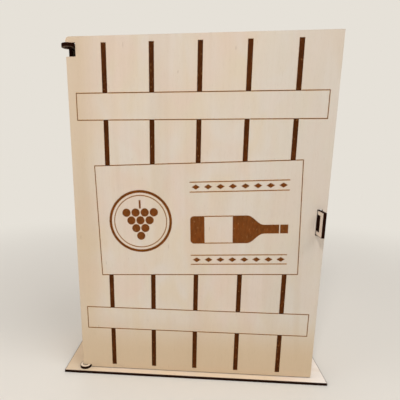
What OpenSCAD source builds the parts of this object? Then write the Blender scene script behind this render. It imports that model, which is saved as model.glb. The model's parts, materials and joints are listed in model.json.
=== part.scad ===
// Wine box for three bottles, cut from thin birch plywood, with an engraved door on pin hinges.
// The origin is the centre of the bottle bays' footprint on the underside of the base plate.
// X runs to the right seen from the front, Y to the back and Z up.

/* [Board] */
// Thickness of the plywood that every piece is cut from
ply = 3; // [2.6:0.1:3.6]

/* [Bottle bays] */
// Clear width of one bottle bay
bay_w = 79.5; // [74:0.5:92]
// Clear depth of the bays, from the front edges of the walls to the back wall
bay_d = 88; // [76:1:110]
// Clear height of the bays, from the floor plate to the top plate
bay_h = 341; // [310:1:370]

/* [Base plate] */
// Width of the base plate that shows beyond each side wall
base_side = 21.4; // [8:0.1:40]
// Depth of the base plate that shows in front of the door
base_front = 7.9; // [6:0.1:30]
// Depth of the base plate that shows behind the back wall
base_back = 13; // [6:0.5:40]

/* [Door] */
// Gap between the front edges of the walls and the back of the door
door_gap = 2; // [1.8:0.1:4]
// Gap between the base plate and the lower edge of the door
door_lift = 0.9; // [0.5:0.1:2]
// Height of the door's upper edge above the top plate
door_rise = 6.3; // [6:0.1:14]
// Overhang of the door past the left wall, on its hinge side
door_lap_left = 1.4; // [0.6:0.1:3]
// Overhang of the door past the right wall, beside the hasp
door_lap_right = 5.7; // [4:0.1:14]
// Radius of the door's upper corner over the hinge ear
door_corner_r = 3.5; // [1:0.1:4]

/* [Hinge] */
// Width of the two pins that are cut in one piece with the door
pin_w = 4.5; // [4:0.1:5.5]
// Clearance between the corners of a pin and the round hole that it turns in
pivot_play = 0.3; // [0.15:0.05:0.5]
// Diameter of the round ears of the floor plate and the top plate, which the pins turn in
ear_d = 13; // [11:0.5:14]
// Clearance between an ear and the edge of the door beside it
ear_side_gap = 0.75; // [0.4:0.05:1.5]
// Gap between the lower ear and the edge of the door above it
low_ear_gap = 0.4; // [0.3:0.05:1]
// Gap between the upper ear and the arm of the door above it
top_ear_gap = 1; // [0.4:0.1:2]
// Free height under the upper ear, so that the door can be lifted off its lower pivot
lift_room = 8.5; // [7:0.1:12]
// Distance by which each pin stops short of the far side of its hole
pin_short = 0.3; // [0.2:0.1:1]

/* [Hasp] */
// Height of the hasp tab that stands out of the right wall
hasp_h = 25; // [18:0.5:40]
// Distance that the hasp tab stands out in front of the door
hasp_reach = 15.5; // [13:0.5:22]
// Width of the bar in front of the eye of the hasp
hasp_bar = 8; // [4:0.5:8]
// Height of the rims above and below the eye of the hasp
eye_rim = 4.5; // [3:0.1:6]
// Distance that the eye reaches back into the slot of the door
eye_bite = 0.8; // [0.2:0.1:2]
// Clearance between the hasp tab and the slot of the door, on every side and as the door swings
hasp_play = 0.8; // [0.3:0.05:1]

/* [Tenons and fingers] */
// Width of the tenons that go through the base, floor and top plates and the back wall
tenon_w = 20; // [12:1:26]
// Clearance on each side of a tenon or a finger
joint_fit = 0.1; // [0.05:0.05:0.2]
// Number of fingers and gaps along each upright corner at the back
finger_count = 7; // [5:2:11]

/* [Engraving] */
// Depth of the dark stripes between the planks of the drawn crate
stripe_depth = 0.4; // [0.2:0.05:0.8]
// Depth of the ornaments on the label
art_depth = 0.3; // [0.2:0.05:0.8]
// Depth of the fine outlines of the battens and the label
score_depth = 0.2; // [0.1:0.05:0.6]
// Width of the fine outlines
score_w = 0.6; // [0.3:0.1:1.2]
// Distance by which the engraved drawing and the hasp lie below the middle of the door
drawing_drop = 0.7; // [0:0.1:2]
// Width of a dark stripe
stripe_w = 4.8; // [2.5:0.1:8]
// Width of the drawn planks at the two side edges of the door
edge_plank_w = 36.8; // [30:0.1:50]
// Distance from the stripes' ends to the upper and lower edges of the door, before the drop
stripe_end = 5.3; // [3:0.1:12]
// Height of a drawn batten
batten_h = 26; // [15:0.5:34]
// Distance from the ends of a batten to the side edges of the door
batten_inset = 7.8; // [4:0.1:20]
// Distance from a batten to the upper or lower edge of the door, before the drop
batten_end = 50.2; // [35:0.1:55]
// Distance from the label to the side edges of the door
label_inset = 24.8; // [15:0.1:30]
// Height of the label
label_h = 118; // [110:1:126]
// Angle by which the label is turned, as if nailed on by hand
label_tilt = 1.8; // [0:0.1:3]

/* [Ornaments on the label] */
// Outer diameter of the round seal
seal_d = 66; // [50:1:76]
// Width of the seal's bold ring
seal_ring_w = 2.6; // [1:0.1:5]
// Diameter of one grape in the seal
grape_d = 8.6; // [5:0.1:9.4]
// Distance between the centres of neighbouring grapes
grape_pitch = 9.6; // [9.5:0.1:11]
// Diameter of the lying bottle
bottle_d = 29; // [18:0.5:34]
// Length of the bottle's straight body
bottle_body_l = 58; // [40:1:62]
// Length of the bottle's shoulder
bottle_shoulder_l = 17; // [8:1:20]
// Length of the bottle's neck
bottle_neck_l = 24; // [15:1:26]
// Diameter of the bottle's neck
bottle_neck_d = 9; // [6:0.5:12]
// Width of one lozenge in the row over the bottle
lozenge_w = 8; // [4:0.5:12]
// Height of one lozenge
lozenge_h = 5; // [3:0.5:10]

/* [Hidden] */
$fn = 64;

// How far a cutting shape reaches past the face that it cuts
cut = 1;

bay_count = 3;
inner_w = bay_count * bay_w + (bay_count - 1) * ply;
left_x = -inner_w / 2 - ply;
right_x = inner_w / 2 + ply;
front_y = -bay_d / 2;
back_y = bay_d / 2;
// The base plate lies under the floor plate, and the walls stand on the floor plate
base_top_z = ply;
floor_z = base_top_z + ply;
ceiling_z = floor_z + bay_h;
top_z = ceiling_z + ply;

door_back_y = front_y - door_gap;
door_front_y = door_back_y - ply;
door_left_x = left_x - door_lap_left;
door_right_x = right_x + door_lap_right;
door_low_z = base_top_z + door_lift;
door_top_z = top_z + door_rise;
door_w = door_right_x - door_left_x;
door_h = door_top_z - door_low_z;
door_mid_x = (door_left_x + door_right_x) / 2;
// Lower and upper edges of the field that the drawing is laid out in, and its middle
drawing_low_z = door_low_z - drawing_drop;
drawing_top_z = door_top_z - drawing_drop;
drawing_mid_z = (drawing_low_z + drawing_top_z) / 2;

pivot_x = door_left_x + pin_w / 2;
pivot_y = (door_front_y + door_back_y) / 2;
pivot_hole_d = norm([pin_w, ply]) + 2 * pivot_play;
// Upper edge of the recess over the lower ear, and both edges of the notch round the upper ear
recess_z = floor_z + low_ear_gap;
notch_top_z = top_z + top_ear_gap;
notch_low_z = ceiling_z - lift_room;

hasp_low_z = drawing_mid_z - hasp_h / 2;
hasp_tip_y = door_front_y - hasp_reach;
hasp_left_x = right_x - ply;
// The tip of the hasp passes the door on an arc round the pivot, which sets the slot's outer edge
hasp_arc_x = pivot_x + norm([right_x - pivot_x, hasp_tip_y - pivot_y]);

plank_pitch = (door_w - 2 * edge_plank_w) / 4;
label_w = door_w - 2 * label_inset;

// Places of the two tenons on a side wall or a divider, and of the three on the back wall
side_tenon_y = [front_y + bay_d / 4, back_y - bay_d / 4];
bay_pitch = bay_w + ply;
back_tenon_x = [for (i = [0 : bay_count - 1]) (i - (bay_count - 1) / 2) * bay_pitch];
divider_x = [for (i = [1 : bay_count - 1]) left_x + ply + i * bay_pitch - ply];
divider_tenon_z = [floor_z + bay_h / 4, ceiling_z - bay_h / 4];
finger_h = bay_h / finger_count;

veneer = "#dccbb0";
veneer_warm = "#d8c3a4";

// ---- Shared shapes ----

// A board in the plane of the door and the back wall, drawn in X and Z, with its front face at y
module upright_board(y, thickness = ply) {
    translate([0, y + thickness, 0])
        rotate([90, 0, 0])
            linear_extrude(thickness)
                children();
}

// A board in the plane of the side walls, drawn in Y and Z, with its left face at x
module side_board(x) {
    translate([x, 0, 0])
        rotate([90, 0, 90])
            linear_extrude(ply)
                children();
}

// A board that lies flat, drawn in X and Y, with its underside at z
module flat_board(z) {
    translate([0, 0, z])
        linear_extrude(ply)
            children();
}

// A rectangle between two corners
module area(x1, y1, x2, y2) {
    translate([x1, y1])
        square([x2 - x1, y2 - y1]);
}

// ---- Joints between the boards ----

// Slots for the tenons of the walls and dividers, in the base, floor and top plates
module tenon_slots() {
    w = tenon_w + 2 * joint_fit;
    t = ply + 2 * joint_fit;
    for (x = concat([left_x, right_x - ply], divider_x), y = side_tenon_y)
        translate([x - joint_fit, y - w / 2])
            square([t, w]);
    for (x = back_tenon_x)
        translate([x - w / 2, back_y - joint_fit])
            square([w, t]);
}

// Tenons on the upper and lower edges of a side wall or divider, drawn in Y and Z
module side_tenons() {
    for (y = side_tenon_y)
        area(y - tenon_w / 2, 0, y + tenon_w / 2, top_z);
}

// One gap between two fingers, counted from the bottom, drawn in the board's own X or Y and Z
module finger_gap(i, a, b, clearance) {
    area(a, floor_z + i * finger_h - clearance, b, floor_z + (i + 1) * finger_h + clearance);
}

// Outline of a side wall, drawn in Y and Z: the odd fingers reach through the back wall
module side_wall_outline() {
    area(front_y, floor_z, back_y, ceiling_z);
    side_tenons();
    for (i = [1 : 2 : finger_count - 2])
        finger_gap(i, back_y - cut, back_y + ply, -joint_fit);
}

// Outline of a divider, drawn in Y and Z: two tenons reach through the back wall
module divider_outline() {
    area(front_y, floor_z, back_y, ceiling_z);
    side_tenons();
    for (z = divider_tenon_z)
        area(back_y - cut, z - tenon_w / 2, back_y + ply, z + tenon_w / 2);
}

// Outline of the floor plate and the top plate, drawn in X and Y, with the ear at the left
module eared_outline() {
    difference() {
        union() {
            area(left_x, front_y, right_x, back_y + ply);
            translate([pivot_x, pivot_y])
                circle(d = ear_d);
        }
        tenon_slots();
        pivot_hole();
    }
}

module pivot_hole() {
    translate([pivot_x, pivot_y])
        circle(d = pivot_hole_d);
}

// ---- Carcass ----

module base_plate() {
    color(veneer_warm)
        flat_board(0)
            difference() {
                area(left_x - base_side, door_front_y - base_front,
                     right_x + base_side, back_y + ply + base_back);
                tenon_slots();
                pivot_hole();
            }
}

// The floor plate lies on the base plate, and its round ear holds the door's lower pin
module floor_plate() {
    color(veneer_warm)
        flat_board(base_top_z)
            eared_outline();
}

module left_wall() {
    color(veneer)
        side_board(left_x)
            side_wall_outline();
}

// The right wall carries the hasp tab, which goes through the slot of the closed door
module right_wall() {
    color(veneer)
        side_board(hasp_left_x)
            difference() {
                union() {
                    side_wall_outline();
                    area(hasp_tip_y, hasp_low_z, front_y + cut, hasp_low_z + hasp_h);
                }
                area(hasp_tip_y + hasp_bar, hasp_low_z + eye_rim,
                     door_front_y + eye_bite, hasp_low_z + hasp_h - eye_rim);
            }
}

module back_wall() {
    color(veneer)
        upright_board(back_y)
            difference() {
                union() {
                    area(left_x, floor_z, right_x, ceiling_z);
                    for (x = back_tenon_x)
                        area(x - tenon_w / 2, 0, x + tenon_w / 2, top_z);
                }
                for (i = [1 : 2 : finger_count - 2]) {
                    finger_gap(i, left_x - cut, left_x + ply, 0);
                    finger_gap(i, right_x - ply, right_x + cut, 0);
                }
                for (x = divider_x, z = divider_tenon_z)
                    area(x - joint_fit, z - tenon_w / 2 - joint_fit,
                         x + ply + joint_fit, z + tenon_w / 2 + joint_fit);
            }
}

module left_divider() {
    color(veneer)
        side_board(divider_x[0])
            divider_outline();
}

module right_divider() {
    color(veneer)
        side_board(divider_x[1])
            divider_outline();
}

// The top plate lies on the walls, and its round ear holds the door's upper pin
module top_plate() {
    color(veneer_warm)
        flat_board(ceiling_z)
            eared_outline();
}

// ---- Door ----

// Outline of the door with its two pins, drawn in X and Z: the lower pin reaches into the base plate
module door_outline() {
    ear_edge_x = pivot_x + ear_d / 2 + ear_side_gap;
    difference() {
        area(door_left_x, door_low_z, door_right_x, door_top_z);
        // Rounded corner over the ear
        difference() {
            area(door_left_x - cut, door_top_z - door_corner_r,
                 door_left_x + door_corner_r, door_top_z + cut);
            translate([door_left_x + door_corner_r, door_top_z - door_corner_r])
                circle(r = door_corner_r);
        }
        // Notch round the upper ear and recess over the lower one
        area(door_left_x - cut, notch_low_z, ear_edge_x, notch_top_z);
        area(door_left_x - cut, door_low_z - cut, ear_edge_x, recess_z);
        // Slot that the hasp goes through
        area(hasp_left_x - hasp_play, hasp_low_z - hasp_play,
             hasp_arc_x + hasp_play, hasp_low_z + hasp_h + hasp_play);
    }
    area(door_left_x, ceiling_z + pin_short, door_left_x + pin_w, notch_top_z + cut);
    area(door_left_x, pin_short, door_left_x + pin_w, recess_z + cut);
}

// The battens and the label, grown by an edge, drawn in X and Z
module batten_areas(edge = 0) {
    for (z = [drawing_low_z + batten_end, drawing_top_z - batten_end - batten_h])
        area(door_left_x + batten_inset - edge, z - edge,
             door_right_x - batten_inset + edge, z + batten_h + edge);
}

module label_area(edge = 0) {
    translate([door_mid_x, drawing_mid_z])
        rotate(label_tilt)
            square([label_w + 2 * edge, label_h + 2 * edge], center = true);
}

// Gaps between the planks of the drawn crate, which the battens and the label cover
module stripe_areas() {
    difference() {
        for (i = [-2 : 2])
            area(door_mid_x + i * plank_pitch - stripe_w / 2, drawing_low_z + stripe_end,
                 door_mid_x + i * plank_pitch + stripe_w / 2, drawing_top_z - stripe_end);
        batten_areas();
        label_area();
    }
}

// Fine outlines, just inside the edges of the battens and the label
module score_areas() {
    difference() {
        batten_areas();
        batten_areas(-score_w);
    }
    difference() {
        label_area();
        label_area(-score_w);
    }
}

// Bunch of grapes in rows of four to one, with a stem
module grape_bunch() {
    row_h = grape_pitch * sin(60);
    for (row = [0 : 3], i = [0 : 3 - row])
        translate([(i - (3 - row) / 2) * grape_pitch, -row * row_h])
            circle(d = grape_d);
    stem_w = grape_d / 5;
    translate([-stem_w / 2, grape_d / 2])
        square([stem_w, grape_d]);
}

// Round seal with a bold ring, a fine ring and the bunch of grapes
module seal() {
    difference() {
        circle(d = seal_d);
        circle(d = seal_d - 2 * seal_ring_w);
    }
    fine_d = seal_d - 4 * seal_ring_w;
    difference() {
        circle(d = fine_d);
        circle(d = fine_d - 2 * score_w);
    }
    translate([0, grape_pitch])
        grape_bunch();
}

// Half width of the bottle at a share t of its shoulder
function shoulder_r(t) = bottle_neck_d / 2 + (bottle_d - bottle_neck_d) / 4 * (1 + cos(180 * t));

// Bottle that lies on its side with its foot to the left, with a bare band for its own label
module bottle() {
    steps = 10;
    end_x = bottle_body_l + bottle_shoulder_l;
    mouth_x = end_x + bottle_neck_l;
    foot_r = bottle_d / 8;
    half = concat(
        [for (a = [180 : -15 : 90]) [foot_r + foot_r * cos(a), bottle_d / 2 - foot_r + foot_r * sin(a)]],
        [for (i = [0 : steps]) [bottle_body_l + bottle_shoulder_l * i / steps, shoulder_r(i / steps)]],
        [[mouth_x, bottle_neck_d / 2]]);
    difference() {
        polygon(concat(half, [for (i = [len(half) - 1 : -1 : 0]) [half[i][0], -half[i][1]]]));
        area(bottle_body_l / 4, -bottle_d / 2 - cut, bottle_body_l * 3 / 4, bottle_d / 2 + cut);
        area(mouth_x - bottle_neck_d, -bottle_neck_d, mouth_x - bottle_neck_d + score_w * 2, bottle_neck_d);
    }
    // Fine edges of the bare band
    for (y = [-bottle_d / 2, bottle_d / 2 - score_w])
        area(bottle_body_l / 4, y, bottle_body_l * 3 / 4, y + score_w);
}

// Row of lozenges between two fine rules, centred on the origin
module lozenge_row(length) {
    count = floor(length / (lozenge_w * 1.5));
    step = length / count;
    for (i = [0 : count - 1])
        translate([(i - (count - 1) / 2) * step, 0])
            polygon([[-lozenge_w / 2, 0], [0, -lozenge_h / 2], [lozenge_w / 2, 0], [0, lozenge_h / 2]]);
    for (y = [-lozenge_h, lozenge_h])
        translate([-length / 2, y - score_w / 2])
            square([length, score_w]);
}

// All ornaments of the label, turned with it
module ornament_areas() {
    margin = 12;
    bottle_l = bottle_body_l + bottle_shoulder_l + bottle_neck_l;
    right_side = label_w / 2 - margin;
    translate([door_mid_x, drawing_mid_z])
        rotate(label_tilt) {
            translate([-right_side + seal_d / 2, 0])
                seal();
            translate([right_side - bottle_l, -label_h / 12])
                bottle();
            for (y = [label_h / 3.4, -label_h / 2.8])
                translate([right_side - bottle_l / 2, y])
                    lozenge_row(bottle_l);
        }
}

module door() {
    color(veneer)
        difference() {
            upright_board(door_front_y)
                door_outline();
            upright_board(door_front_y - cut, stripe_depth + cut)
                stripe_areas();
            upright_board(door_front_y - cut, score_depth + cut)
                score_areas();
            upright_board(door_front_y - cut, art_depth + cut)
                ornament_areas();
        }
}

base_plate();
floor_plate();
left_wall();
right_wall();
back_wall();
left_divider();
right_divider();
top_plate();
door();
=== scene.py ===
import bpy
import json
import math
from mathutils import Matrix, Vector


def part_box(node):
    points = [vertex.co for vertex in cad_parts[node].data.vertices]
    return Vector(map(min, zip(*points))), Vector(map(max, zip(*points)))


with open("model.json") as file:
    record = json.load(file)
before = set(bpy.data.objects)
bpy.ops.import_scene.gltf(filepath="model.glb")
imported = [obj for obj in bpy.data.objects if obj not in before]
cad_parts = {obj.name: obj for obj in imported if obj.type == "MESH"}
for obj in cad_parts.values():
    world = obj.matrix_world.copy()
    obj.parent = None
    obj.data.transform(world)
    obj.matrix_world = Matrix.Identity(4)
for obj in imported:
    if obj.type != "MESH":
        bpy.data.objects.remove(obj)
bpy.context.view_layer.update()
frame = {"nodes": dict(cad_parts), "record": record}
nodes = frame["nodes"]
pivot = frame["record"]["behaviour"]["joints"][0]["pos_m"]  # on the line of the door's pins
mm = 0.001
print("frame loaded:", len(nodes), "boards")


def toLinear(hexColour):
    # sRGB hex such as "d8c5ab" to the linear colour that a shader wants
    channels = [int(hexColour[i:i + 2], 16) / 255 for i in (0, 2, 4)]
    linear = [c / 12.92 if c <= 0.04045 else ((c + 0.055) / 1.055) ** 2.4 for c in channels]
    return (*linear, 1.0)


def addNode(tree, kind, inputs=None, **settings):
    # an input may be a number, a colour, a socket, or a node, which stands for its first output
    node = tree.nodes.new(kind)
    for key, value in settings.items():
        setattr(node, key, value)
    for key, value in (inputs or {}).items():
        if isinstance(value, bpy.types.Node):
            value = value.outputs[0]
        if isinstance(value, bpy.types.NodeSocket):
            tree.links.new(value, node.inputs[key])
        else:
            node.inputs[key].default_value = value
    return node


def boardPlace(tree, grain):
    # where a point lies: in metres, and on the board's own sheet in mm with the grain upright;
    # "facing" is 1 or -1 on the board's faces and 0 on its cut edges
    place = addNode(tree, "ShaderNodeTexCoord")
    axes = addNode(tree, "ShaderNodeSeparateXYZ", {0: place.outputs["Object"]})
    facing = addNode(tree, "ShaderNodeSeparateXYZ", {0: place.outputs["Normal"]})
    across, through, along = [axes.outputs[axis] for axis in grain]
    turned = addNode(tree, "ShaderNodeCombineXYZ", {0: across, 1: through, 2: along})
    sheet = addNode(tree, "ShaderNodeVectorMath", {0: turned, "Scale": 1 / mm}, operation="SCALE")
    return {"object": place.outputs["Object"], "across": across, "through": through, "along": along,
            "sheet": sheet, "facing": facing.outputs[grain[1]]}


def spreadPatterns(tree, sheet, patterns, seed):
    # a pattern is a noise of its own size; its share grows between two values of the noise
    noises, shares = {}, {}
    for name, pattern in patterns.items():
        spread = addNode(tree, "ShaderNodeMapping", {
            "Vector": sheet, "Scale": [1 / size for size in pattern["size"]],
            "Location": [seed * shift for shift in pattern.get("shift", (0, 0, 0))]})
        noises[name] = addNode(tree, "ShaderNodeTexNoise", {
            "Vector": spread, "Scale": 1, "Detail": pattern["detail"],
            "Roughness": pattern.get("roughness", 0.5), "Distortion": pattern.get("curl", 0)})
        if "share" in pattern:
            shares[name] = addNode(tree, "ShaderNodeMapRange", {
                "Value": noises[name], "From Min": pattern["noise"][0], "From Max": pattern["noise"][1],
                "To Min": pattern["share"][0], "To Max": pattern["share"][1]})
    return noises, shares


# Birch plywood: rotary-cut birch face veneer, sanded and left bare. It looks pale and smooth,
# with soft pinkish and creamy clouds along the grain, faint growth lines, fine short pores
# and a few brown pith flecks.
birch = {
    "figure": "c5ab8a",       # growth lines and streaks
    "pore": "a08460",
    "pithFleck": "8f6c48",
    "tan": "d1ba9c",          # painted warm shade, where less light falls
    "grey": "d0c9bd",         # painted grey shade, where less light falls
    "pale": "f2e8de",         # painted highlight, where the light falls most
    "figureLines": 9.0,       # growth lines in a flame of the figure
    "figureWave": (0.1, 1.0),  # height of the wave where a line begins, and is full
    "poreDepth": 0.04,        # mm
    "poreNoise": (0.45, 0.75),  # pore noise at the face and at the bottom of a pore
    "bumpStrength": 0.4,
    "roughness": (0.67, 0.82),  # smooth and rough streaks
    "roughNoise": (0.3, 0.7),
    "specular": 0.06,
    # sizes are in mm across the grain, through the board and along the grain; the shifts, times
    # a board's seed, give each board another piece of the veneer; the share grows from its first
    # to its second value while the noise goes from its own first to its second
    "patterns": {
        "cream": {"size": (28.0, 100.0, 62.0), "shift": (2, 1, 3), "detail": 2, "roughness": 0.45,
                  "curl": 0.9, "noise": (0.38, 0.64), "share": (0, 0.75)},
        "blush": {"size": (35.0, 100.0, 68.9), "shift": (1, 6, 2), "detail": 2, "roughness": 0.4,
                  "curl": 0.9, "noise": (0.42, 0.66), "share": (0, 0.6)},
        "flame": {"size": (75.0, 50.0, 420.0), "shift": (3.1, 1, 1.7), "detail": 1.5, "roughness": 0.35},
        "figureFade": {"size": (41.67, 50.0, 142.9), "shift": (1, 2, 5), "detail": 1,
                       "noise": (0.4, 0.7), "share": (0, 0.17)},
        "streak": {"size": (2.6, 25.0, 120.0), "shift": (7, 1, 1), "detail": 3, "roughness": 0.55,
                   "noise": (0.3, 0.75), "share": (0, 0.08)},
        # pores are drawn 0.45 mm wide where real ones have 0.1, so that they show
        "pore": {"size": (0.45, 3.333, 5.0), "shift": (1, 3, 2), "detail": 2,
                 "noise": (0.58, 0.78), "share": (0, 0.13)},
        "pithFleck": {"size": (2.222, 5.0, 13.33), "shift": (5, 1, 4), "detail": 1,
                      "noise": (0.77, 0.82), "share": (0, 0.25)},
    },
}

# Two sheets of it: body, creamy cloud and pinkish cloud. The door's sheet is the greyer one.
sheets = {
    "door sheet": {"body": "dacec0", "cream": "dac9b1", "blush": "dcc6b6"},
    "case sheet": {"body": "e6d3bd", "cream": "e4cdaf", "blush": "e6cebb"},
}

# Painted light and shade: where a board's tone drifts towards a side, darker where less light falls and
# lighter where more does:
# the tone, the direction, the side, the distances in mm from that side at which the drift begins to fade
# and ends, and its share.
drifts = {
    # door: painted grey shade towards the right side, painted warm shade towards the bottom and the left
    # side
    "door": (("grey", "across", "high", 20, 100, 0.45), ("tan", "along", "low", 25, 80, 1.0),
             ("tan", "across", "low", 8, 40, 0.65)),
    # base plate: painted warm shade towards the left end, painted highlight towards the right end
    "base_plate": (("tan", "along", "low", 0, 70, 0.8), ("pale", "along", "high", 0, 60, 0.9)),
}


def veneerColour(tree, place, sides, board, sheetColours, noises, shares):
    tone = toLinear(sheetColours["body"])
    for cloud in ("cream", "blush"):
        tone = addNode(tree, "ShaderNodeMixRGB", {
            "Fac": shares[cloud], "Color1": tone, "Color2": toLinear(sheetColours[cloud])})

    # painted light and shade: the tone drifts darker or lighter towards the sides, as the light falls on
    # them
    for paintedTone, direction, side, start, end, share in drifts.get(board, ()):
        low, high = sides[direction]
        edge, inward = (low, mm) if side == "low" else (high, -mm)
        paintedLightShare = addNode(tree, "ShaderNodeMapRange", {
            "Value": place[direction], "From Min": edge + inward * start, "From Max": edge + inward * end,
            "To Min": share, "To Max": 0}, interpolation_type="SMOOTHSTEP")
        tone = addNode(tree, "ShaderNodeMixRGB", {
            "Fac": paintedLightShare, "Color1": tone, "Color2": toLinear(birch[paintedTone])})

    # growth lines: contours of a slow noise that is stretched along the grain
    rings = addNode(tree, "ShaderNodeMath", {
        0: noises["flame"], 1: birch["figureLines"] * 2 * math.pi}, operation="MULTIPLY")
    ringWave = addNode(tree, "ShaderNodeMath", {0: rings}, operation="SINE")
    ringLine = addNode(tree, "ShaderNodeMapRange", {
        "Value": ringWave, "From Min": birch["figureWave"][0], "From Max": birch["figureWave"][1],
        "To Min": 0, "To Max": 1}, interpolation_type="SMOOTHSTEP")
    ringShare = addNode(tree, "ShaderNodeMath", {
        0: ringLine, 1: shares["figureFade"]}, operation="MULTIPLY")

    marks = ((ringShare, "figure"), (shares["streak"], "figure"), (shares["pore"], "pore"),
             (shares["pithFleck"], "pithFleck"))
    for markShare, markTone in marks:
        tone = addNode(tree, "ShaderNodeMixRGB", {
            "Fac": markShare, "Color1": tone, "Color2": toLinear(birch[markTone])})
    return tone


# Laser-cut edge: three plies charred almost black, with darker glue lines and the fine drag
# lines of the beam through the board. Beside the cut the face is scorched in a hairline, and
# smoke stains it further out, mostly on the side that lay on the laser's bed. A lean is the
# cosine between the true normal and one that is rounded over the width: it drops near a cut.
# A pair of leans says where the stain begins and where it is full.
charredEdge = {
    "char": "100400",
    "brown": "280f04",
    "plies": 3,
    "glueLine": (0.22, 0.48),  # in plies from a ply's middle: the dark begins, and is full
    "glueShare": 0.8,
    "edgeFacing": (0.9, 0.6),  # facing at which the face ends, and the edge is full
    "scorch": "35180a",
    "scorchWidth": {"door": 1.0, "case": 1.5},  # mm
    "scorchLean": {"door": (0.9, 0.76), "case": (0.998, 0.93)},
    "scorchFront": {"door": 0.0, "case": 0.9},  # the door's front was sanded once more
    "scorchBed": 1.0,
    "smoke": "35200f",
    "smokeWidth": 2.4,        # mm
    "smokeLean": (0.999, 0.88),
    "smokeFront": 0.04,
    "smokeBed": 1.0,
    "earReach": (6.5, 8.5),   # mm from the pins: the ears are darkened all over on their bed side, partly soot and partly painted shade
    "earSootAndShade": 0.88,
    "bevelSamples": 8,
    "patterns": {
        "smokeDrift": {"size": (9.09, 9.09, 9.09), "detail": 2, "noise": (0.3, 0.65), "share": (0.5, 1)},
        # drag lines are drawn 0.6 mm apart where real ones have 0.1, so that they show
        "drag": {"size": (0.6, 8.333, 0.6), "detail": 2, "noise": (0.25, 0.8), "share": (0.15, 0.65)},
    },
}


def nearCuts(tree, kind):
    # how far the rounded normals lean near cuts, tightly and widely rounded
    geometry = addNode(tree, "ShaderNodeNewGeometry")
    leans = []
    for width in (charredEdge["scorchWidth"][kind], charredEdge["smokeWidth"]):
        rounded = addNode(tree, "ShaderNodeBevel", {"Radius": width * mm},
                          samples=charredEdge["bevelSamples"])
        lean = addNode(tree, "ShaderNodeVectorMath", {
            0: rounded, 1: geometry.outputs["True Normal"]}, operation="DOT_PRODUCT")
        leans.append(lean.outputs["Value"])
    return leans


def scorchedFace(tree, place, face, kind, bedSide, leans, smokeDrift):
    ranges = (charredEdge["scorchLean"][kind], charredEdge["smokeLean"])
    strengths = ((charredEdge["scorchFront"][kind], charredEdge["scorchBed"]),
                 (charredEdge["smokeFront"], charredEdge["smokeBed"]))
    bedward = addNode(tree, "ShaderNodeMath", {0: place["facing"], 1: bedSide}, operation="MULTIPLY")
    near, stained = [], []
    for lean, (begins, full), (front, bed) in zip(leans, ranges, strengths):
        near.append(addNode(tree, "ShaderNodeMapRange", {
            "Value": lean, "From Min": begins, "From Max": full, "To Min": 0, "To Max": 1}))
        strength = addNode(tree, "ShaderNodeMapRange", {
            "Value": bedward, "From Min": -1, "From Max": 1, "To Min": front, "To Max": bed})
        stained.append(addNode(tree, "ShaderNodeMath", {0: near[-1], 1: strength}, operation="MULTIPLY"))
    scorchShare, evenSmoke = stained

    # smoke drifts unevenly along a cut, and covers the ears; on the upper ear's underside this is partly
    # real soot and partly painted shade
    driftedSmoke = addNode(tree, "ShaderNodeMath", {0: evenSmoke, 1: smokeDrift}, operation="MULTIPLY")
    fromPins = addNode(tree, "ShaderNodeVectorMath", {0: place["object"], 1: pivot}, operation="SUBTRACT")
    level = addNode(tree, "ShaderNodeVectorMath", {0: fromPins, 1: (1, 1, 0)}, operation="MULTIPLY")
    distance = addNode(tree, "ShaderNodeVectorMath", {0: level}, operation="LENGTH")
    onEar = addNode(tree, "ShaderNodeMapRange", {
        "Value": distance.outputs["Value"], "From Min": charredEdge["earReach"][0] * mm,
        "From Max": charredEdge["earReach"][1] * mm, "To Min": charredEdge["earSootAndShade"], "To Max": 0})
    earSootAndShade = addNode(tree, "ShaderNodeMath", {
        0: onEar, 1: bedward}, operation="MULTIPLY", use_clamp=True)
    sootAndShadeShare = addNode(tree, "ShaderNodeMath", {0: driftedSmoke, 1: earSootAndShade}, operation="MAXIMUM")

    # soot colour near cuts; on the ears it is partly painted shade
    smoked = addNode(tree, "ShaderNodeMixRGB", {
        "Fac": sootAndShadeShare, "Color1": face, "Color2": toLinear(charredEdge["smoke"])})
    scorched = addNode(tree, "ShaderNodeMixRGB", {
        "Fac": scorchShare, "Color1": smoked, "Color2": toLinear(charredEdge["scorch"])})
    return scorched, near[0]


def charredPlies(tree, place, sides, drag):
    low, high = sides["through"]
    brown, char = toLinear(charredEdge["brown"]), toLinear(charredEdge["char"])
    plies = addNode(tree, "ShaderNodeMapRange", {
        "Value": place["through"], "From Min": low, "From Max": high,
        "To Min": 0, "To Max": charredEdge["plies"]})
    inPly = addNode(tree, "ShaderNodeMath", {0: plies}, operation="FRACT")
    fromMiddle = addNode(tree, "ShaderNodeMath", {0: inPly, 1: 0.5}, operation="SUBTRACT")
    distance = addNode(tree, "ShaderNodeMath", {0: fromMiddle}, operation="ABSOLUTE")
    glue = addNode(tree, "ShaderNodeMapRange", {
        "Value": distance, "From Min": charredEdge["glueLine"][0], "From Max": charredEdge["glueLine"][1],
        "To Min": 0, "To Max": charredEdge["glueShare"]})
    charShare = addNode(tree, "ShaderNodeMath", {0: glue, 1: drag}, operation="MAXIMUM")
    return addNode(tree, "ShaderNodeMixRGB", {"Fac": charShare, "Color1": brown, "Color2": char})


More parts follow.
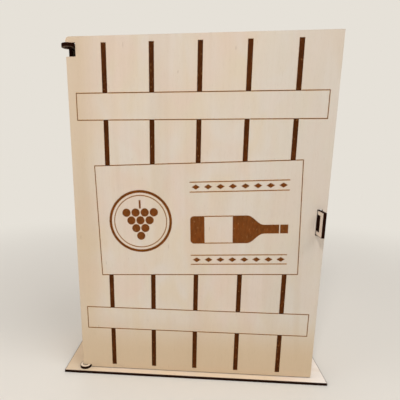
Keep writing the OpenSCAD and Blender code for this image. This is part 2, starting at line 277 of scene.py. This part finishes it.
# Laser engraving in the door: red-brown scorched wood, sootier the deeper the beam went, with
# embers, soot and pale ash in patches, fine raster lines and soot along its walls.
engraving = {
    "outlineDepth": 0.2,      # mm
    "ornamentDepth": 0.3,     # mm
    "stripeDepth": 0.4,       # mm
    "outline": "482008",
    "ornament": "7a451c",
    "stripe": "4b2406",
    "ember": "8a4517",        # redder, lighter patches
    "stripeEmber": 0.35,      # how much of them shows in the stripes
    "soot": "2a1104",
    "wallSoot": 0.5,
    "ash": "9a6c40",          # small pale flecks
    "scorch": "c58732",       # glow on the face beside it
    "scorchShare": 1.0,
    "scorchLean": (0.9995, 0.987),
    # a cut through the board leans the normals more than a low engraved wall, and has no glow
    "cutLeans": ((0.92, 0.86), (0.985, 0.95)),
    "rim": 2.0,               # mm round the door that have no glow either
    "rasterSpacing": 0.5,     # mm, drawn coarser than the real 0.1
    "rasterDepth": 0.03,      # mm
    "rasterSoot": 0.1,
    "patterns": {
        "emberPatch": {"size": (6.25, 20.0, 14.29), "detail": 3, "roughness": 0.6,
                       "noise": (0.45, 0.75), "share": (0, 0.7)},
        "sootPatch": {"size": (2.5, 10.0, 7.692), "detail": 4, "roughness": 0.6,
                      "noise": (0.4, 0.72), "share": (0, 0.34)},
        "ashFleck": {"size": (1.818, 10.0, 3.333), "shift": (5.11, 2.19, 8.03), "detail": 2,
                     "roughness": 0.6, "noise": (0.6, 0.74), "share": (0, 0.55)},
    },
}


def glowBesideLines(tree, place, sides, face, leans):
    glow = addNode(tree, "ShaderNodeMapRange", {
        "Value": leans[0], "From Min": engraving["scorchLean"][0], "From Max": engraving["scorchLean"][1],
        "To Min": 0, "To Max": engraving["scorchShare"]})
    limits = []
    for lean, (begins, full) in zip(leans, engraving["cutLeans"]):
        limits.append(addNode(tree, "ShaderNodeMapRange", {
            "Value": lean, "From Min": begins, "From Max": full, "To Min": 1, "To Max": 0}))
    for direction in ("across", "along"):
        low, high = sides[direction]
        limits.append(addNode(tree, "ShaderNodeMath", {
            0: place[direction], 1: low + engraving["rim"] * mm}, operation="GREATER_THAN"))
        limits.append(addNode(tree, "ShaderNodeMath", {
            0: place[direction], 1: high - engraving["rim"] * mm}, operation="LESS_THAN"))
    for limit in limits:
        glow = addNode(tree, "ShaderNodeMath", {0: glow, 1: limit}, operation="MULTIPLY")
    return addNode(tree, "ShaderNodeMixRGB", {
        "Fac": glow, "Color1": face, "Color2": toLinear(engraving["scorch"])})


def engravedColour(tree, depth, rasterWave, atCut, shares):
    outline, ornament, stripe, ember, soot, ash = [toLinear(engraving[key]) for key in (
        "outline", "ornament", "stripe", "ember", "soot", "ash")]
    isOrnament = addNode(tree, "ShaderNodeMath", {
        0: depth, 1: (engraving["outlineDepth"] + engraving["ornamentDepth"]) / 2 * mm},
        operation="GREATER_THAN")
    isStripe = addNode(tree, "ShaderNodeMath", {
        0: depth, 1: (engraving["ornamentDepth"] + engraving["stripeDepth"]) / 2 * mm},
        operation="GREATER_THAN")
    stripeEmber = addNode(tree, "ShaderNodeMath", {
        0: shares["emberPatch"], 1: engraving["stripeEmber"]}, operation="MULTIPLY")
    ornaments = addNode(tree, "ShaderNodeMixRGB", {
        "Fac": shares["emberPatch"], "Color1": ornament, "Color2": ember})
    stripes = addNode(tree, "ShaderNodeMixRGB", {"Fac": stripeEmber, "Color1": stripe, "Color2": ember})
    shallowLines = addNode(tree, "ShaderNodeMixRGB", {
        "Fac": isOrnament, "Color1": outline, "Color2": ornaments})
    burnt = addNode(tree, "ShaderNodeMixRGB", {
        "Fac": isStripe, "Color1": shallowLines, "Color2": stripes})

    rasterSoot = addNode(tree, "ShaderNodeMapRange", {
        "Value": rasterWave, "From Min": -1, "From Max": 1,
        "To Min": 0, "To Max": engraving["rasterSoot"]})
    wallSoot = addNode(tree, "ShaderNodeMath", {0: atCut, 1: engraving["wallSoot"]}, operation="MULTIPLY")
    patchy = addNode(tree, "ShaderNodeMath", {0: shares["sootPatch"], 1: rasterSoot}, operation="ADD")
    sootShare = addNode(tree, "ShaderNodeMath", {0: patchy, 1: wallSoot}, operation="ADD", use_clamp=True)
    sooted = addNode(tree, "ShaderNodeMixRGB", {"Fac": sootShare, "Color1": burnt, "Color2": soot})
    return addNode(tree, "ShaderNodeMixRGB", {"Fac": shares["ashFleck"], "Color1": sooted, "Color2": ash})


def engravedFace(tree, place, sides, face, relief, leans, atCut, shares):
    # the depth below the door's front says what was engraved there
    face = glowBesideLines(tree, place, sides, face, leans)
    depth = addNode(tree, "ShaderNodeMath", {
        0: place["through"], 1: sides["through"][0]}, operation="SUBTRACT")
    raster = addNode(tree, "ShaderNodeMath", {
        0: place["along"], 1: 2 * math.pi / (engraving["rasterSpacing"] * mm)}, operation="MULTIPLY")
    rasterWave = addNode(tree, "ShaderNodeMath", {0: raster}, operation="SINE")
    engraved = engravedColour(tree, depth, rasterWave, atCut, shares)
    belowFront = addNode(tree, "ShaderNodeMath", {
        0: depth, 1: engraving["outlineDepth"] / 2 * mm}, operation="GREATER_THAN")
    beforeBack = addNode(tree, "ShaderNodeMath", {
        0: depth, 1: engraving["stripeDepth"] * 2 * mm}, operation="LESS_THAN")
    share = addNode(tree, "ShaderNodeMath", {0: belowFront, 1: beforeBack}, operation="MULTIPLY")
    face = addNode(tree, "ShaderNodeMixRGB", {"Fac": share, "Color1": face, "Color2": engraved})

    ridges = addNode(tree, "ShaderNodeMapRange", {
        "Value": rasterWave, "From Min": -1, "From Max": 1,
        "To Min": 0, "To Max": engraving["rasterDepth"] * mm})
    ridged = addNode(tree, "ShaderNodeMath", {0: ridges, 1: share}, operation="MULTIPLY")
    relief = addNode(tree, "ShaderNodeMath", {0: relief, 1: ridged}, operation="ADD")
    return face, relief


def plywoodMaterial(name, board, grain, bedSide, sheetColours, seed):
    kind = "door" if board == "door" else "case"
    material = bpy.data.materials.new(name)
    material.use_nodes = True
    tree = material.node_tree
    tree.nodes.clear()
    place = boardPlace(tree, grain)
    low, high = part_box(board)
    sides = {direction: (low[axis], high[axis])
             for direction, axis in zip(("across", "through", "along"), grain)}
    patterns = {**birch["patterns"], **charredEdge["patterns"]}
    if kind == "door":
        patterns.update(engraving["patterns"])
    noises, shares = spreadPatterns(tree, place["sheet"], patterns, seed)

    face = veneerColour(tree, place, sides, board, sheetColours, noises, shares)
    leans = nearCuts(tree, kind)
    face, atCut = scorchedFace(tree, place, face, kind, bedSide, leans, shares["smokeDrift"])
    relief = addNode(tree, "ShaderNodeMapRange", {
        "Value": noises["pore"], "From Min": birch["poreNoise"][0], "From Max": birch["poreNoise"][1],
        "To Min": birch["poreDepth"] * mm, "To Max": 0})
    if kind == "door":
        face, relief = engravedFace(tree, place, sides, face, relief, leans, atCut, shares)

    # the charred edge is wherever the surface doesn't face along the thickness
    edge = charredPlies(tree, place, sides, shares["drag"])
    flatness = addNode(tree, "ShaderNodeMath", {0: place["facing"]}, operation="ABSOLUTE")
    edgeShare = addNode(tree, "ShaderNodeMapRange", {
        "Value": flatness, "From Min": charredEdge["edgeFacing"][0],
        "From Max": charredEdge["edgeFacing"][1], "To Min": 0, "To Max": 1})
    colour = addNode(tree, "ShaderNodeMixRGB", {"Fac": edgeShare, "Color1": face, "Color2": edge})
    faceRoughness = addNode(tree, "ShaderNodeMapRange", {
        "Value": noises["streak"], "From Min": birch["roughNoise"][0], "From Max": birch["roughNoise"][1],
        "To Min": birch["roughness"][0], "To Max": birch["roughness"][1]})
    roughness = addNode(tree, "ShaderNodeMath", {0: faceRoughness, 1: edgeShare}, operation="MAXIMUM")
    bump = addNode(tree, "ShaderNodeBump", {
        "Height": relief, "Strength": birch["bumpStrength"], "Distance": 1.0})
    shader = addNode(tree, "ShaderNodeBsdfPrincipled", {
        "Base Color": colour, "Roughness": roughness, "Normal": bump,
        "Specular IOR Level": birch["specular"]})
    addNode(tree, "ShaderNodeOutputMaterial", {"Surface": shader})
    return material


# board: its directions across the grain, through the board and along the grain as axis numbers,
# the side that lay on the laser's bed, and its sheet. The hasp is as grey as the door, so its
# wall comes from the door's sheet.
boards = {
    "door": ((0, 1, 2), 1, "door sheet"),
    "back_wall": ((0, 1, 2), -1, "case sheet"),
    "left_wall": ((1, 0, 2), 1, "case sheet"),
    "right_wall": ((1, 0, 2), 1, "door sheet"),
    "left_divider": ((1, 0, 2), 1, "case sheet"),
    "right_divider": ((1, 0, 2), -1, "case sheet"),
    "base_plate": ((1, 2, 0), -1, "case sheet"),
    "floor_plate": ((1, 2, 0), -1, "case sheet"),
    "top_plate": ((1, 2, 0), -1, "case sheet"),
}
seedStep = 1.37

for number, (board, (grain, bedSide, sheetName)) in enumerate(boards.items(), 1):
    wood = "engraved birch plywood " if board == "door" else "birch plywood "
    finish = plywoodMaterial(wood + board.replace("_", " "), board, grain, bedSide,
                             sheets[sheetName], seedStep * number)
    nodes[board].data.materials.clear()
    nodes[board].data.materials.append(finish)
    print("finished:", finish.name)


# Matt paper on the floor: pale and without a sheen, and it turns softly into the background.
stage = {
    "floor": "ddd7ce",
    "background": "e6e1d8",
    "radius": 6.0,            # m
    "fadeFrom": 0.35,         # m from the middle, where the floor begins to turn into background
    "fadeTo": 1.0,
    "fill": "ffffff",         # light from all sides
    "fillStrength": 0.42,
}

bpy.ops.mesh.primitive_circle_add(vertices=64, radius=stage["radius"], fill_type="NGON")
floor = bpy.context.object
floor.name = "floor"
paper = bpy.data.materials.new("matt paper floor")
paper.use_nodes = True
tree = paper.node_tree
tree.nodes.clear()
place = addNode(tree, "ShaderNodeTexCoord")
distance = addNode(tree, "ShaderNodeVectorMath", {0: place.outputs["Object"]}, operation="LENGTH")
far = addNode(tree, "ShaderNodeMapRange", {
    "Value": distance.outputs["Value"], "From Min": stage["fadeFrom"], "From Max": stage["fadeTo"],
    "To Min": 0, "To Max": 1}, interpolation_type="SMOOTHSTEP")
path = addNode(tree, "ShaderNodeLightPath")
seen = addNode(tree, "ShaderNodeMath", {0: far, 1: path.outputs["Is Camera Ray"]}, operation="MULTIPLY")
matt = addNode(tree, "ShaderNodeBsdfDiffuse", {"Color": toLinear(stage["floor"])})
backdrop = addNode(tree, "ShaderNodeEmission", {"Color": toLinear(stage["background"]), "Strength": 1})
sweep = addNode(tree, "ShaderNodeMixShader", {0: seen, 1: matt, 2: backdrop})
addNode(tree, "ShaderNodeOutputMaterial", {"Surface": sweep})
floor.data.materials.append(paper)

world = bpy.data.worlds.new("studio")
bpy.context.scene.world = world
world.use_nodes = True
tree = world.node_tree
tree.nodes.clear()
path = addNode(tree, "ShaderNodeLightPath")
fill = addNode(tree, "ShaderNodeBackground", {
    "Color": toLinear(stage["fill"]), "Strength": stage["fillStrength"]})
backdrop = addNode(tree, "ShaderNodeBackground", {"Color": toLinear(stage["background"]), "Strength": 1})
sky = addNode(tree, "ShaderNodeMixShader", {0: path.outputs["Is Camera Ray"], 1: fill, 2: backdrop})
addNode(tree, "ShaderNodeOutputWorld", {"Surface": sky})
print("floor and background ready")

lamps = {
    # name: place, size in metres, power in watts
    "key": ((-0.3, -1.15, 1.3), 0.22, 7.6),
    "overhead": ((0.65, -0.55, 1.45), 1.0, 10.5),
    "left fill": ((-1.5, -0.5, 0.6), 1.2, 6.5),
    "back fill": ((-0.3, 1.9, 1.1), 1.6, 9.0),
}
lampAim = Vector((0, 0, 0.15))

for name, (lampPlace, size, power) in lamps.items():
    lampData = bpy.data.lights.new(name, "AREA")
    lampData.shape = "SQUARE"
    lampData.size = size
    lampData.energy = power
    lamp = bpy.data.objects.new(name, lampData)
    bpy.context.scene.collection.objects.link(lamp)
    lamp.location = lampPlace
    lamp.rotation_euler = (lampAim - Vector(lampPlace)).to_track_quat("-Z", "Y").to_euler()
print("lamps ready:", len(lamps))

camera = {
    "place": (0.0001, -0.4004, 0.2497),
    "tilt": -12.43,           # degrees, looking down
    "turn": 4.79,             # degrees to the left
    "focal": 345.5,           # pixels in the 400 pixel frame
    "centre": (166.65, 227.2),  # pixel that the optical axis meets
    "frame": 400,
    "sensor": 36,             # mm
    "clipStart": 0.02,        # m
}

cameraData = bpy.data.cameras.new("camera")
cameraObject = bpy.data.objects.new("camera", cameraData)
bpy.context.scene.collection.objects.link(cameraObject)
cameraObject.location = camera["place"]
cameraObject.rotation_euler = (math.radians(90 + camera["tilt"]), 0, math.radians(camera["turn"]))
cameraData.sensor_width = camera["sensor"]
cameraData.lens = camera["focal"] / camera["frame"] * camera["sensor"]
cameraData.shift_x = (camera["frame"] / 2 - camera["centre"][0]) / camera["frame"]
cameraData.shift_y = (camera["centre"][1] - camera["frame"] / 2) / camera["frame"]
cameraData.clip_start = camera["clipStart"]
bpy.context.scene.camera = cameraObject
bpy.context.scene.view_settings.view_transform = "Standard"
print("camera ready")
